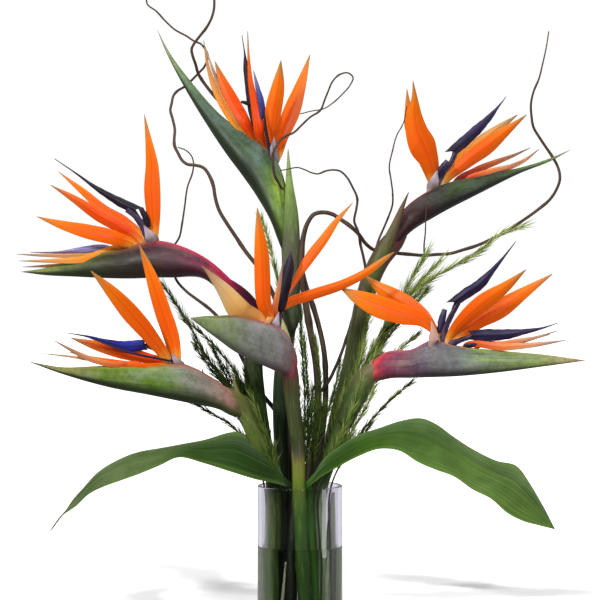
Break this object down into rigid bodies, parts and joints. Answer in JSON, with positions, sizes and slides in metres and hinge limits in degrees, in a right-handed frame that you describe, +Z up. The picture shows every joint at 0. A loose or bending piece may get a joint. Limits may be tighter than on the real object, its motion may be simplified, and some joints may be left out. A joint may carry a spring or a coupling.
{
  "type": "bird of paradise flower arrangement",
  "caption": "Vase arrangement of bird of paradise flowers with curly willow, needle-leaved sprays and long leaves in a clear glass cylinder of water.",
  "frame": {"origin": "middle of the vase's flat underside, on the surface it stands on", "axes": "+Z up along the vase's axis, -Y towards the front, +X to the right as seen from the front"},
  "size_m": [0.5812, 0.2901, 0.8343],
  "materials": {
    "clear_glass": "clear, polished",
    "water": "clear water",
    "flower_stalk": "smooth, faint bloom",
    "green_bract": "smooth, soft sheen",
    "flower_spathe": "smooth, grey bloom",
    "orange_sepal": "satin",
    "blue_petal": "satin",
    "willow_bark": "rough bark",
    "needle_foliage": "fine needles",
    "long_leaf": "leathery sheen"
  },
  "bodies": {
    "root": {"front_bract": "green_bract", "front_petals_1": "blue_petal", "front_sepals_1": "orange_sepal", "front_sepals_2": "orange_sepal", "front_spathe": "flower_spathe", "front_stalk": "flower_stalk", "glass_vase": "clear_glass", "left_leaf": "long_leaf", "lower_left_bract": "green_bract", "lower_left_petals_1": "blue_petal", "lower_left_sepals_1": "orange_sepal", "lower_left_sepals_2": "orange_sepal", "lower_left_spathe": "flower_spathe", "lower_left_stalk": "flower_stalk", "lower_right_bract": "green_bract", "lower_right_petals_1": "blue_petal", "lower_right_sepals_1": "orange_sepal", "lower_right_sepals_2": "orange_sepal", "lower_right_spathe": "flower_spathe", "lower_right_stalk": "flower_stalk", "needle_spray_1": "needle_foliage", "needle_spray_10": "needle_foliage", "needle_spray_11": "needle_foliage", "needle_spray_2": "needle_foliage", "needle_spray_3": "needle_foliage", "needle_spray_4": "needle_foliage", "needle_spray_5": "needle_foliage", "needle_spray_6": "needle_foliage", "needle_spray_7": "needle_foliage", "needle_spray_8": "needle_foliage", "needle_spray_9": "needle_foliage", "right_leaf": "long_leaf", "top_bract": "green_bract", "top_petals_1": "blue_petal", "top_sepals_1": "orange_sepal", "top_sepals_2": "orange_sepal", "top_spathe": "flower_spathe", "top_stalk": "flower_stalk", "upper_left_bract": "green_bract", "upper_left_petals_1": "blue_petal", "upper_left_sepals_1": "orange_sepal", "upper_left_sepals_2": "orange_sepal", "upper_left_sepals_3": "orange_sepal", "upper_left_spathe": "flower_spathe", "upper_left_stalk": "flower_stalk", "upper_right_bract": "green_bract", "upper_right_petals_1": "blue_petal", "upper_right_sepals_1": "orange_sepal", "upper_right_sepals_2": "orange_sepal", "upper_right_spathe": "flower_spathe", "upper_right_stalk": "flower_stalk", "vase_water": "water", "willow_left": "willow_bark", "willow_middle": "willow_bark", "willow_right": "willow_bark", "willow_tall": "willow_bark"}
  },
  "joints": []
}
